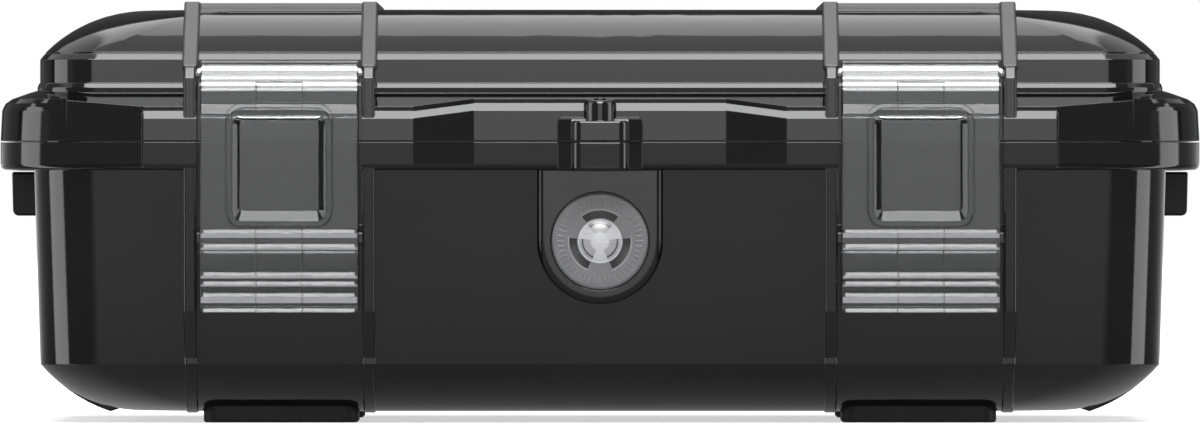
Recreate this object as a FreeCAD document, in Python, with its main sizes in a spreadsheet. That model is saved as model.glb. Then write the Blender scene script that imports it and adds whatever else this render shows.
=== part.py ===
import FreeCAD, Part
import math
import os
import Sketcher
from FreeCAD import Placement, Rotation, Vector

# A small waterproof hard case as an assembly: base, lid, two clear latches, four feet, a pressure valve,
# strap loops, gasket, liner and steel pins. Millimetres, +Z up, front towards -Y, floor at zero.

SIZES = {
    # rim and parting line, shared by base and lid
    "rim_width": 256.0,
    "rim_depth": 168.6,
    "rim_corner": 18.0,
    "parting_height": 60.0,
    "parting_gap": 0.3,
    "shell_wall": 3.0,
    # base tub
    "base_rim_height": 5.85,
    "base_rim_edge": 1.2,
    "base_overhang": 7.0,
    "base_corner": 13.0,
    "base_draft": 1.4,
    "base_clearance": 2.35,
    "pillow_rise": 10.15,
    "pillow_inset": 21.0,
    "pillow_corner_share": 0.6,
    "base_floor": 3.85,
    "floor_inset": 12.0,
    # lid
    "lid_rim_height": 6.4,
    "rim_chamfer_run": 1.34,
    "rim_chamfer_rise": 1.6,
    "rim_step_rise": 0.95,
    "rim_step_lean": 0.1,
    "shoulder_run": 2.9,
    "shoulder_rise": 1.2,
    "rim_end_run": 7.9,
    "belt_corner": 13.0,
    "belt_height": 1.2,
    "belt_lean": 0.1,
    "low_ledge_run": 0.66,
    "low_ledge_end_run": 0.3,
    "low_ledge_rise": 0.9,
    "ledge_flat": 2.0,
    "ledge_flat_end": 0.2,
    "ledge_flat_rise": 0.1,
    "lid_corner": 12.5,
    "lid_wall_height": 5.0,
    "high_ledge_run": 1.0,
    "high_ledge_end_run": 0.9,
    "high_ledge_rise": 1.2,
    "dome_step": 0.3,
    "dome_inset": 21.4,
    "dome_rise": 9.25,
    "dome_corner_share": 0.6,
    "roof_inset": 18.0,
    "lid_hollow_inset": 13.2,
    # latch zones of the rim
    "latch_centre": 68.2,
    "zone_out": 4.1,
    "zone_outer_reach": 28.8,
    "zone_inner_reach": 28.5,
    "zone_outer_run": 16.4,
    "zone_outer_drop": 0.35,
    "zone_end": 0.35,
    "zone_inner_run": 12.9,
    "zone_root": 6.5,
    "well_back": 4.3,
    "well_side_gap": 0.15,
    "well_top": 14.0,
    # ribs
    "rib_pitch": 38.0,
    "rib_width": 2.6,
    "rib_edge": 0.5,
    "rib_recess": 0.1,
    "guard_lean_share": 0.026,
    "rear_rib_proud": 0.6,
    "guard_bottom": 23.6,
    "guard_foot": 14.2,
    "low_rib_proud": 1.0,
    "low_rib_drop": 0.25,
    "low_rib_mid_drop": 0.75,
    "lid_rib_width": 3.4,
    "lid_rib_setback": 3.8,
    "lid_rib_nose": 76.3,
    "lid_rib_under": 75.3,
    "lid_rib_run": 24.5,
    "lid_rib_proud": 1.65,
    "guard_top": 73.5,
    "guard_top_run": 1.9,
    "guard_top_rise": 2.3,
    "end_rib_spread": 35.0,
    "end_rib_width": 3.0,
    "end_rib_proud": 0.8,
    "end_rib_stop": 105.3,
    "end_rib_stop_run": 2.7,
    "end_rib_stop_rise": 0.9,
    "end_rib_inner": 8.0,
    "end_rib_overlap": 2.0,
    # stacking fences on the lid
    "fence_front": 57.5,
    "fence_step_run": 1.4,
    "fence_step_rise": 0.8,
    "fence_riser": 0.25,
    "fence_drop": 0.25,
    "fence_flat": 1.6,
    "fence_root": 7.5,
    # padlock lug
    "lug_half_width": 9.1,
    "lug_proud": 2.3,
    "lug_slant": 1.1,
    "lug_top": 65.1,
    "lug_round": 1.2,
    "boss_half_width": 6.05,
    "boss_proud": 5.1,
    "boss_corner": 2.2,
    "boss_top": 64.4,
    "boss_round": 0.6,
    "neck_half_width": 3.4,
    "neck_top": 68.8,
    "neck_round": 1.0,
    "lug_root": 4.0,
    "lug_edge": 0.35,
    "padlock_radius": 2.3,
    "padlock_setback": 0.7,
    # latch catch on the base
    "catch_under": 38.1,
    "catch_nose": 2.5,
    "catch_slope": 1.9,
    "catch_proud": 6.6,
    "catch_edge": 0.4,
    # latches and their pins
    "latch_width": 33.6,
    "latch_thickness": 2.4,
    "latch_bottom": 23.6,
    "latch_chamfer_top": 67.9,
    "latch_chamfer_run": 1.6,
    "latch_chamfer_rise": 1.95,
    "latch_step": 2.8,
    "latch_back_drop": 1.0,
    "knuckle_front_angle": 42.0,
    "knuckle_back_angle": 77.0,
    "latch_corner": 0.7,
    "latch_edge": 0.35,
    "latch_pin_setback": 6.7,
    "latch_pin_height": 74.6,
    "latch_pin_radius": 1.0,
    "latch_pin_clearance": 0.06,
    "latch_pin_seat": 1.7,
    "latch_knuckle": 2.6,
    "hook_gap": 0.25,
    "hook_height": 1.65,
    "hook_reach": 5.1,
    "hook_nose": 0.5,
    "grip_line_proud": 0.45,
    "grip_line_facet": 0.78,
    "return_reach": 2.6,
    "return_height": 1.3,
    "panel_width": 19.8,
    "panel_bottom": 43.1,
    "panel_top": 65.5,
    "panel_corner": 2.0,
    "panel_side_slope": 1.5,
    "panel_low_slope": 2.1,
    "panel_high_slope": 1.0,
    "panel_depth": 1.1,
    "bead_width": 1.4,
    "bead_root": 1.0,
    "bead_proud": 0.35,
    "bead_edge": 0.3,
    # rear hinges
    "hinge_radius": 4.5,
    "hinge_pin_radius": 1.5,
    "hinge_clearance": 0.05,
    "hinge_lid_half": 7.9,
    "hinge_gap": 0.3,
    "hinge_root": 6.0,
    # gasket
    "gasket_inset": 8.0,
    "gasket_width": 3.0,
    "gasket_height": 2.3,
    "gasket_side_gap": 0.1,
    "tongue_width": 1.2,
    "tongue_height": 0.4,
    "gasket_rest_gap": 0.2,
    # feet
    "foot_width": 33.1,
    "foot_length": 27.0,
    "foot_corner": 3.0,
    "foot_thickness": 3.6,
    "foot_edge": 0.6,
    "foot_gap": 0.15,
    "foot_front": 62.7,
    # pressure valve
    "valve_height": 38.8,
    "valve_boss_half": 13.4,
    "valve_boss_edge": 1.5,
    "valve_boss_proud": 4.0,
    "valve_boss_root": 4.0,
    "valve_recess": 3.4,
    "valve_gap": 0.3,
    "cap_radius": 10.25,
    "cap_proud": 0.4,
    "cap_disc": 1.4,
    "cap_edge": 0.6,
    "cap_skirt_wall": 1.2,
    "cap_dome_radius": 4.4,
    "cap_dome_rise": 1.2,
    "window_inner": 4.9,
    "window_outer": 6.5,
    "window_half_angle": 36.0,
    "seal_inner": 6.3,
    "seal_outer": 8.8,
    "seal_thickness": 0.8,
    "flange_radius": 10.0,
    "flange_thickness": 1.2,
    "barrel_radius": 5.8,
    "barrel_bore": 3.2,
    "barrel_clearance": 0.1,
    "barrel_reach": 0.6,
    "membrane_radius": 4.6,
    "membrane_thickness": 0.3,
    "nut_flats": 15.0,
    "nut_thickness": 2.6,
    "nut_face_radius": 9.2,
    "nut_seat_sink": 0.35,
    # strap loops
    "loop_length": 34.0,
    "loop_ear": 3.0,
    "loop_height": 9.5,
    "loop_outset": 6.1,
    "loop_sink": 1.4,
    "loop_plate": 1.0,
    "loop_bar": 1.6,
    "loop_bar_height": 4.4,
    "loop_edge": 0.5,
    "loop_corner": 1.3,
    "loop_draft": 0.2,
    "loop_gap": 0.15,
    "loop_top_gap": 0.3,
    # liner
    "liner_gap": 0.25,
    "liner_wall": 1.6,
    "liner_top_drop": 1.6,
    "liner_valve_hole": 10.4,
}

doc = FreeCAD.newDocument("hard_case")
dims = doc.addObject("Spreadsheet::Sheet", "dims")
for row, (alias, number) in enumerate(SIZES.items(), start=1):
    dims.set(f"A{row}", alias)
    dims.set(f"B{row}", str(number))
    dims.setAlias(f"B{row}", alias)
doc.recompute()


class Size:
    """A number together with the sheet expression that gives it."""

    def __init__(self, text, number):
        self.text = text
        self.number = number

    def __add__(self, other):
        other = as_size(other)
        return Size(f"({self.text} + {other.text})", self.number + other.number)

    def __sub__(self, other):
        other = as_size(other)
        return Size(f"({self.text} - {other.text})", self.number - other.number)

    def __mul__(self, other):
        other = as_size(other)
        return Size(f"({self.text} * {other.text})", self.number * other.number)

    def __truediv__(self, other):
        other = as_size(other)
        return Size(f"({self.text} / {other.text})", self.number / other.number)

    def __neg__(self):
        return self * -1

    def __radd__(self, other):
        return as_size(other) + self

    def __rsub__(self, other):
        return as_size(other) - self

    def __rmul__(self, other):
        return as_size(other) * self


class Sheet:
    """Hands out the sheet's sizes by alias."""

    def __getattr__(self, alias):
        return Size(f"dims.{alias}", SIZES[alias])


d = Sheet()


def as_size(value):
    return value if isinstance(value, Size) else Size(f"({value})", value)


def root(value):
    return Size(f"sqrt({value.text})", math.sqrt(value.number))


def sine(degrees):
    return Size(f"sin({degrees.text} * 1 deg)", math.sin(math.radians(degrees.number)))


def cosine(degrees):
    return Size(f"cos({degrees.text} * 1 deg)", math.cos(math.radians(degrees.number)))


DIAGONAL = root(as_size(0.5))


def bind(thing, name, value):
    thing.setExpression(name, as_size(value).text)


# Sketches

TURNS = {
    "XY": Rotation(),
    "XZ": Rotation(Vector(1, 0, 0), 90),
    "YZ": Rotation(Vector(1, 1, 1), 120),
}


def flat(pair):
    return Vector(as_size(pair[0]).number, as_size(pair[1]).number, 0)


def pin_point(sketch, geometry, position, pair):
    """Binds one sketch point to a pair of sizes."""
    for kind, value in zip(("DistanceX", "DistanceY"), pair):
        value = as_size(value)
        constraint = Sketcher.Constraint(kind, -1, 1, geometry, position, value.number)
        bind(sketch, f"Constraints[{sketch.addConstraint(constraint)}]", value)


def end_near(sketch, geometry, pair):
    """The end of a sketch line or arc that lies at a pair: 1 its start, 2 its end."""
    goal = flat(pair)
    return min((1, 2), key=lambda position: sketch.getPoint(geometry, position).distanceToPoint(goal))


def draw(sketch, corners):
    """Adds a closed outline. A corner with four numbers ends an arc that passes its last two."""
    pieces = []
    for start, corner in zip(corners[-1:] + corners[:-1], corners):
        if len(corner) == 2:
            curve = Part.LineSegment(flat(start), flat(corner))
        else:
            curve = Part.Arc(flat(start), flat(corner[2:]), flat(corner))
        pieces.append(sketch.addGeometry(curve, False))
    for index, corner in enumerate(corners):
        piece = pieces[index]
        follower = pieces[(index + 1) % len(pieces)]
        piece_end = end_near(sketch, piece, corner)
        follower_start = end_near(sketch, follower, corner)
        sketch.addConstraint(Sketcher.Constraint("Coincident", piece, piece_end, follower, follower_start))
        pin_point(sketch, piece, piece_end, corner[:2])
    for piece, corner in zip(pieces, corners):
        if len(corner) == 4:
            mark = sketch.addGeometry(Part.Point(flat(corner[2:])), True)
            pin_point(sketch, mark, 1, corner[2:])
            sketch.addConstraint(Sketcher.Constraint("PointOnObject", mark, 1, piece))


def draw_circle(sketch, centre, radius):
    circle = sketch.addGeometry(Part.Circle(flat(centre), Vector(0, 0, 1), radius.number), False)
    pin_point(sketch, circle, 3, centre)
    constraint = sketch.addConstraint(Sketcher.Constraint("Radius", circle, radius.number))
    bind(sketch, f"Constraints[{constraint}]", radius)


def free_sketch(name, plane, at, corners):
    """A sketch outside any body, on a plane moved along its own normal."""
    sketch = doc.addObject("Sketcher::SketchObject", name)
    sketch.Placement = Placement(Vector(), TURNS[plane])
    axis, sign = {"XY": ("z", 1), "XZ": ("y", -1), "YZ": ("x", 1)}[plane]
    bind(sketch, f"Placement.Base.{axis}", as_size(at) * sign)
    draw(sketch, corners)
    return sketch


def body_sketch(body, name, plane, at, *outlines):
    """A sketch on one of a body's own planes, moved along the plane's normal."""
    sketch = body.newObject("Sketcher::SketchObject", name)
    support = [feature for feature in body.Origin.OriginFeatures if feature.Role == f"{plane}_Plane"][0]
    sketch.AttachmentSupport = (support, [""])
    sketch.MapMode = "FlatFace"
    bind(sketch, "AttachmentOffset.Base.z", at)
    for outline in outlines:
        draw(sketch, outline)
    return sketch


def rounded_rectangle(width, depth, corner):
    """Outline of a rectangle round the origin with rounded corners, as lines and arcs."""
    side = width / 2
    back = depth / 2
    bend = corner * (1 - DIAGONAL)
    return [
        (side - corner, -back),
        (side, corner - back, side - bend, bend - back),
        (side, back - corner),
        (side - corner, back, side - bend, back - bend),
        (corner - side, back),
        (-side, back - corner, bend - side, back - bend),
        (-side, corner - back),
        (corner - side, -back, bend - side, bend - back),
    ]


def moved(outline, across, along):
    """An outline shifted in its own plane."""
    shift = (across, along)
    return [tuple(value + shift[index % 2] for index, value in enumerate(corner)) for corner in outline]


def tab_outline(half_width, back, front, corner):
    """A rectangle whose two front corners are rounded; front is the smaller number."""
    bend = corner * (1 - DIAGONAL)
    return [
        (-half_width, back),
        (-half_width, front + corner),
        (corner - half_width, front, bend - half_width, front + bend),
        (half_width - corner, front),
        (half_width, front + corner, half_width - bend, front + bend),
        (half_width, back),
    ]


# Solids

def pad(body, sketch, length, both_ways=False):
    feature = body.newObject("PartDesign::Pad", f"{sketch.Name}_pad")
    feature.Profile = sketch
    bind(feature, "Length", length)
    if both_ways:
        feature.SideType = "Symmetric"
    doc.recompute()
    return feature


def pocket(body, sketch, length, both_ways=False):
    doc.recompute()
    before = body.Shape.Volume
    feature = body.newObject("PartDesign::Pocket", f"{sketch.Name}_pocket")
    feature.Profile = sketch
    bind(feature, "Length", length)
    if both_ways:
        feature.SideType = "Symmetric"
    doc.recompute()
    if feature.Shape.Volume >= before:
        raise RuntimeError(f"{feature.Name} takes nothing away")
    return feature


def soften(body, feature, radius, chosen=None):
    """Rounds a feature's edges: all of them, or those a test picks."""
    fillet = body.newObject("PartDesign::Fillet", f"{feature.Name}_edges")
    if chosen is None:
        fillet.Base = (feature, [""])
        fillet.UseAllEdges = True
    else:
        names = [f"Edge{number}" for number, edge in enumerate(feature.Shape.Edges, start=1) if chosen(edge)]
        fillet.Base = (feature, names)
    bind(fillet, "Radius", radius)
    doc.recompute()
    if fillet.Shape.isNull():
        raise RuntimeError(f"{fillet.Name} cannot round its edges")
    return fillet


def slab(name, plane, at, length, corners, edge=None, both_ways=True):
    """A body padded from one outline, with its edges rounded."""
    body = doc.addObject("PartDesign::Body", name)
    feature = pad(body, body_sketch(body, f"{name}_outline", plane, at, corners), length, both_ways)
    if edge is not None:
        soften(body, feature, edge)
    return body


def turned(name, corners):
    """A body turned about the Y axis from half an outline in Y and radius."""
    body = doc.addObject("PartDesign::Body", name)
    sketch = body_sketch(body, f"{name}_outline", "YZ", 0, corners)
    feature = body.newObject("PartDesign::Revolution", f"{name}_turn")
    feature.Profile = sketch
    feature.ReferenceAxis = (sketch, ["H_Axis"])
    feature.Angle = 360
    doc.recompute()
    return body


def box(name, low, high):
    thing = doc.addObject("Part::Box", name)
    for side, axis, start, end in zip(("Length", "Width", "Height"), "xyz", low, high):
        bind(thing, side, as_size(end) - start)
        bind(thing, f"Placement.Base.{axis}", start)
    return thing


def cylinder(name, axis, start, radius, length):
    """A cylinder that runs from its start point along +X, +Y or +Z."""
    turn = {"x": Rotation(Vector(0, 1, 0), 90), "y": Rotation(Vector(1, 0, 0), -90), "z": Rotation()}[axis]
    thing = doc.addObject("Part::Cylinder", name)
    thing.Placement = Placement(Vector(), turn)
    bind(thing, "Radius", radius)
    bind(thing, "Height", length)
    for letter, value in zip("xyz", start):
        bind(thing, f"Placement.Base.{letter}", value)
    return thing


def loft(name, sections, ruled=True):
    thing = doc.addObject("Part::Loft", name)
    thing.Sections = sections
    thing.Solid = True
    thing.Ruled = ruled
    return thing


def fuse(name, *things):
    thing = doc.addObject("Part::MultiFuse", name)
    thing.Shapes = list(things)
    thing.Refine = True
    return thing


def cut(name, body, *tools):
    thing = doc.addObject("Part::Cut", name)
    thing.Base = body
    thing.Tool = tools[0] if len(tools) == 1 else fuse(f"{name}_tools", *tools)
    thing.Refine = True
    return thing


# Places that several pieces share

rim_front = -d.rim_depth / 2
rim_rear = d.rim_depth / 2
base_rim_top = d.parting_height - d.parting_gap / 2
lid_rim_bottom = d.parting_height + d.parting_gap / 2
rim_underside = base_rim_top - d.base_rim_height
zone_face = rim_front - d.zone_out
guard_face = zone_face + d.rib_recess
rear_guard_face = rim_rear + d.rear_rib_proud
well_half = (d.rib_pitch - d.rib_width) / 2 - d.well_side_gap
well_front = rim_front + d.well_back
well_rear = rim_rear - d.well_back
hinge_line = rear_guard_face
latch_pin_line = guard_face + d.latch_pin_setback
SIDES = {"left": -1, "right": 1}
RIBS = {
    f"{side}_{place}": sign * (d.latch_centre + step * d.rib_pitch / 2)
    for side, sign in SIDES.items()
    for place, step in (("outer", 1), ("inner", -1))
}


def arc_shares(rise, inset, shares):
    """Points of an arc that starts level and drops by rise over inset, as (distance in, height drop)."""
    radius = (inset * inset + rise * rise) / (2 * rise)
    points = []
    for share in shares:
        run = inset * share
        points.append((inset - run, radius - root(radius * radius - run * run)))
    return points


ARC_SHARES = (1, 0.85, 0.65, 0.42, 0.2, 0)

# Base tub: drafted walls, pillowed bottom and the rim flange

base_top_width = d.rim_width - 2 * d.base_overhang
base_top_depth = d.rim_depth - 2 * d.base_overhang
base_low_width = base_top_width - 2 * d.base_draft
base_low_depth = base_top_depth - 2 * d.base_draft
crease = d.base_clearance + d.pillow_rise
crease_front = -base_low_depth / 2
crease_rear = base_low_depth / 2
crease_side = base_low_width / 2

base_wall = loft("base_wall", [
    free_sketch("base_wall_low", "XY", crease,
                rounded_rectangle(base_low_width, base_low_depth, d.base_corner)),
    free_sketch("base_wall_high", "XY", rim_underside + d.base_rim_height / 2,
                rounded_rectangle(base_top_width, base_top_depth, d.base_corner)),
])

pillow_points = arc_shares(d.pillow_rise, d.pillow_inset, ARC_SHARES)
pillow_sections = []
for number, (inset, drop) in enumerate(pillow_points):
    outline = rounded_rectangle(base_low_width - 2 * inset, base_low_depth - 2 * inset,
                                d.base_corner + inset * d.pillow_corner_share)
    pillow_sections.append(free_sketch(f"pillow_{number}", "XY", d.base_clearance + drop, outline))
pillow = loft("pillow", pillow_sections, ruled=False)

base_rim = doc.addObject("PartDesign::Body", "base_rim")
base_rim_pad = pad(base_rim,
                   body_sketch(base_rim, "base_rim_outline", "XY", rim_underside,
                               rounded_rectangle(d.rim_width, d.rim_depth, d.rim_corner)),
                   d.base_rim_height)
soften(base_rim, base_rim_pad, d.base_rim_edge,
       lambda edge: edge.BoundBox.ZMax < rim_underside.number + d.base_rim_edge.number)

base_pieces = [base_wall, pillow, base_rim]


def zone_places(sign):
    """Along the rim: each section's place and face, and whether its upper edge is chamfered."""
    outer = d.latch_centre + d.zone_outer_reach
    inner = d.latch_centre - d.zone_inner_reach
    return [
        (sign * (outer + d.zone_outer_run), rim_front + d.zone_outer_drop, False),
        (sign * (outer + d.zone_end), zone_face + d.rim_chamfer_run, False),
        (sign * outer, zone_face, True),
        (sign * inner, zone_face, True),
        (sign * (inner - d.zone_inner_run), rim_front, True),
    ]


zone_root = rim_front + d.zone_root
for side, sign in SIDES.items():
    sections = []
    for number, (place, face, _) in enumerate(zone_places(sign)):
        bend = d.base_rim_edge * (1 - DIAGONAL)
        sections.append(free_sketch(f"{side}_base_zone_{number}", "YZ", place, [
            (zone_root, base_rim_top),
            (zone_root, rim_underside),
            (face + d.base_rim_edge, rim_underside),
            (face, rim_underside + d.base_rim_edge, face + bend, rim_underside + bend),
            (face, base_rim_top),
        ]))
    base_pieces.append(loft(f"{side}_base_zone", sections))

rib_mid = pillow_points[3]
guard_low_face = guard_face + (base_rim_top - d.guard_bottom) * d.guard_lean_share
for name, place in RIBS.items():
    base_pieces.append(slab(f"{name}_base_rib", "YZ", place, d.rib_width, [
        (guard_face, base_rim_top),
        (guard_low_face, d.guard_bottom),
        (crease_front - d.low_rib_proud, d.guard_foot),
        (crease_front - d.low_rib_proud, crease),
        (crease_front + d.pillow_inset, d.base_clearance - d.low_rib_drop,
         crease_front + rib_mid[0], d.base_clearance + rib_mid[1] - d.low_rib_mid_drop),
        (crease_rear - d.pillow_inset, d.base_clearance - d.low_rib_drop),
        (crease_rear + d.low_rib_proud, crease,
         crease_rear - rib_mid[0], d.base_clearance + rib_mid[1] - d.low_rib_mid_drop),
        (crease_rear + d.low_rib_proud, d.guard_foot),
        (rear_guard_face, d.guard_bottom),
        (rear_guard_face, base_rim_top),
    ], d.rib_edge))

base_form = fuse("base_form", *base_pieces)

# Base: end ribs, which follow the end walls and turn under the bottom

base_details = []
end_high = base_top_width / 2 + d.end_rib_proud
end_low = crease_side + d.end_rib_proud
end_stop_height = d.base_clearance - d.low_rib_drop
end_mid = pillow_points[2]
for name, sign in (("front", 1), ("rear", -1)):
    base_details.append(slab(f"{name}_end_rib", "XZ", sign * d.end_rib_spread, d.end_rib_width, [
        (-end_high, rim_underside + d.end_rib_overlap),
        (-end_low, crease),
        (-d.end_rib_stop, end_stop_height,
         end_mid[0] - crease_side, d.base_clearance + end_mid[1] - d.low_rib_mid_drop),
        (d.end_rib_stop_run - d.end_rib_stop, end_stop_height + d.end_rib_stop_rise),
        (d.end_rib_stop_run - d.end_rib_stop, d.end_rib_inner),
        (d.end_rib_stop - d.end_rib_stop_run, d.end_rib_inner),
        (d.end_rib_stop - d.end_rib_stop_run, end_stop_height + d.end_rib_stop_rise),
        (d.end_rib_stop, end_stop_height),
        (end_low, crease,
         crease_side - end_mid[0], d.base_clearance + end_mid[1] - d.low_rib_mid_drop),
        (end_high, rim_underside + d.end_rib_overlap),
    ], d.rib_edge))

# Base: catches for the latch hooks, between each pair of ribs

catch_root = crease_front + d.shell_wall / 2
catch_face = crease_front - d.catch_proud
for side, sign in SIDES.items():
    base_details.append(slab(f"{side}_catch", "YZ", sign * d.latch_centre, d.rib_pitch, [
        (catch_root, d.catch_under),
        (catch_face, d.catch_under),
        (catch_face, d.catch_under + d.catch_nose),
        (crease_front, d.catch_under + d.catch_nose + d.catch_slope),
        (catch_root, d.catch_under + d.catch_nose + d.catch_slope),
    ], d.catch_edge))

# Base: valve boss and the lower half of the padlock lug

valve_boss_face = crease_front - d.valve_boss_proud - d.base_draft / 2
valve_boss = doc.addObject("PartDesign::Body", "valve_boss")
valve_boss_pad = pad(
    valve_boss,
    body_sketch(valve_boss, "valve_boss_outline", "XZ", -(valve_boss_face + d.valve_boss_root), [
        (-d.valve_boss_half, rim_underside + d.base_rim_edge),
        (-d.valve_boss_half, d.valve_height),
        (d.valve_boss_half, d.valve_height, 0, d.valve_height - d.valve_boss_half),
        (d.valve_boss_half, rim_underside + d.base_rim_edge),
    ]),
    d.valve_boss_root)
soften(valve_boss, valve_boss_pad, d.valve_boss_edge,
       lambda edge: edge.BoundBox.YMax < valve_boss_face.number + d.valve_boss_edge.number / 2)
base_details.append(valve_boss)

lug_root = rim_front + d.lug_root
lug_front = rim_front - d.lug_proud
lug_outline = [
    (-d.lug_half_width, lug_root),
    (-d.lug_half_width, lug_front + d.lug_slant),
    (-d.boss_half_width, lug_front),
    (d.boss_half_width, lug_front),
    (d.lug_half_width, lug_front + d.lug_slant),
    (d.lug_half_width, lug_root),
]
boss_outline = tab_outline(d.boss_half_width, lug_root, rim_front - d.boss_proud, d.boss_corner)
for name, outline in (("base_lug", lug_outline), ("base_boss", boss_outline)):
    base_details.append(slab(name, "XY", rim_underside, d.base_rim_height, outline, d.lug_edge,
                             both_ways=False))

# Base: cavity, latch and hinge wells, padlock bore, foot pockets and the seats of valve and strap loops

cavity_low_width = base_low_width - 2 * d.shell_wall
cavity_low_depth = base_low_depth - 2 * d.shell_wall
cavity_top_width = base_top_width - 2 * d.shell_wall
cavity_top_depth = base_top_depth - 2 * d.shell_wall
cavity_corner = d.base_corner - d.shell_wall
floor = d.base_clearance + d.base_floor
cavity_bend = crease + d.shell_wall / 2
cavity_top = d.parting_height + d.parting_gap


def tub(name, shrink, low, bend, top):
    """The inside of the base, or a form smaller than it by shrink on every side."""
    corner = cavity_corner - shrink
    return loft(name, [
        free_sketch(f"{name}_floor", "XY", low,
                    rounded_rectangle(cavity_low_width - 2 * (d.floor_inset + shrink),
                                      cavity_low_depth - 2 * (d.floor_inset + shrink), corner)),
        free_sketch(f"{name}_bend", "XY", bend,
                    rounded_rectangle(cavity_low_width - 2 * shrink, cavity_low_depth - 2 * shrink, corner)),
        free_sketch(f"{name}_top", "XY", top,
                    rounded_rectangle(cavity_top_width - 2 * shrink, cavity_top_depth - 2 * shrink, corner)),
    ])


def wells(name, low, high):
    """Clear boxes between each pair of ribs, at the latches and at the hinges."""
    boxes = []
    for side, sign in SIDES.items():
        left = sign * d.latch_centre - well_half
        right = sign * d.latch_centre + well_half
        boxes.append(box(f"{side}_{name}_latch_well", (left, zone_face - d.zone_out, low),
                         (right, well_front, high)))
        boxes.append(box(f"{side}_{name}_hinge_well", (left, well_rear, low),
                         (right, rim_rear + d.zone_out, high)))
    return boxes


base_cuts = [tub("base_cavity", as_size(0), floor, cavity_bend, cavity_top)]
base_cuts += wells("base", rim_underside - d.base_rim_edge, cavity_top)

padlock_line = rim_front - d.padlock_setback
base_cuts.append(cylinder("base_padlock_bore", "z", (0, padlock_line, rim_underside - d.base_rim_height),
                          d.padlock_radius, 3 * d.base_rim_height))

valve_floor = valve_boss_face + d.valve_recess
nut_share = (d.valve_height - cavity_bend) / (cavity_top - cavity_bend)
nut_seat = -cavity_low_depth / 2 - nut_share * d.base_draft - d.nut_seat_sink
base_cuts.append(cylinder("valve_recess", "y", (0, valve_boss_face - d.valve_recess, d.valve_height),
                          d.cap_radius + d.valve_gap, 2 * d.valve_recess))
base_cuts.append(cylinder("valve_hole", "y", (0, valve_boss_face, d.valve_height),
                          d.barrel_radius + d.barrel_clearance, 4 * d.shell_wall))
base_cuts.append(cylinder("valve_nut_seat", "y", (0, nut_seat, d.valve_height),
                          d.nut_face_radius, 2 * d.shell_wall))

foot_centre_front = d.foot_length / 2 - d.foot_front
FEET = {
    f"{row}_{side}_foot": (sign * d.latch_centre, way * foot_centre_front)
    for row, way in (("front", 1), ("rear", -1))
    for side, sign in SIDES.items()
}
for name, (across, along) in FEET.items():
    outline = moved(rounded_rectangle(d.foot_width + 2 * d.foot_gap, d.foot_length + 2 * d.foot_gap,
                                      d.foot_corner + d.foot_gap), across, along)
    base_cuts.append(slab(f"{name}_pocket", "XY", 0, d.foot_thickness, outline, both_ways=False))

loop_outer = base_top_width / 2 + d.loop_outset
loop_inner = base_top_width / 2 - d.loop_sink
loop_top = rim_underside - d.loop_top_gap
loop_bottom = loop_top - d.loop_height
loop_half = d.loop_length / 2
for side, sign in SIDES.items():
    ends = sorted((sign * loop_inner, sign * loop_outer), key=lambda end: end.number)
    base_cuts.append(box(f"{side}_loop_pocket",
                         (ends[0], -loop_half - d.loop_gap, loop_bottom - d.loop_gap),
                         (ends[1], loop_half + d.loop_gap, rim_underside)))

base_tub = cut("base_tub", fuse("base_solid", base_form, *base_details), *base_cuts)

# Base: hinge knuckles and the tongue that presses into the gasket

hinge_low = d.parting_height - d.hinge_radius
hinge_high = d.parting_height + d.hinge_radius
hinge_base_end = well_half - d.hinge_gap / 2
hinge_base_start = d.hinge_lid_half + d.hinge_gap
hinge_base_length = hinge_base_end - hinge_base_start
hinge_web = hinge_line - d.hinge_root
hinge_bore = d.hinge_pin_radius + d.hinge_clearance


def knuckle(name, start, length, low, high):
    """A hinge barrel with the web that ties it to its rim."""
    return [
        cylinder(name, "x", (start, hinge_line, d.parting_height), d.hinge_radius, length),
        box(f"{name}_web", (start, hinge_web, low), (start + length, hinge_line, high)),
    ]


def hinge_bores(name):
    return [
        cylinder(f"{side}_{name}_bore", "x",
                 (sign * d.latch_centre - well_half, hinge_line, d.parting_height), hinge_bore, 2 * well_half)
        for side, sign in SIDES.items()
    ]


def ring(name, low, height, width):
    """A band round the rim, on the gasket line."""
    middle_width = d.rim_width - 2 * d.gasket_inset
    middle_depth = d.rim_depth - 2 * d.gasket_inset
    middle_corner = d.rim_corner - d.gasket_inset
    body = doc.addObject("PartDesign::Body", name)
    sketch = body_sketch(body, f"{name}_outline", "XY", low,
                         rounded_rectangle(middle_width + width, middle_depth + width,
                                           middle_corner + width / 2),
                         rounded_rectangle(middle_width - width, middle_depth - width,
                                           middle_corner - width / 2))
    pad(body, sketch, height)
    return body


base_knuckles = []
for side, sign in SIDES.items():
    centre = sign * d.latch_centre
    for place, start in (("left", centre - hinge_base_end), ("right", centre + hinge_base_start)):
        base_knuckles += knuckle(f"{side}_{place}_base_knuckle", start, hinge_base_length,
                                 hinge_low, base_rim_top)
tongue = ring("tongue", base_rim_top - d.tongue_height, 2 * d.tongue_height, d.tongue_width)
base_shell = cut("base_shell", fuse("base_hinged", base_tub, tongue, *base_knuckles), *hinge_bores("base"))

# Lid: rim with chamfer, step and shoulder, stepped wall and dome

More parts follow.
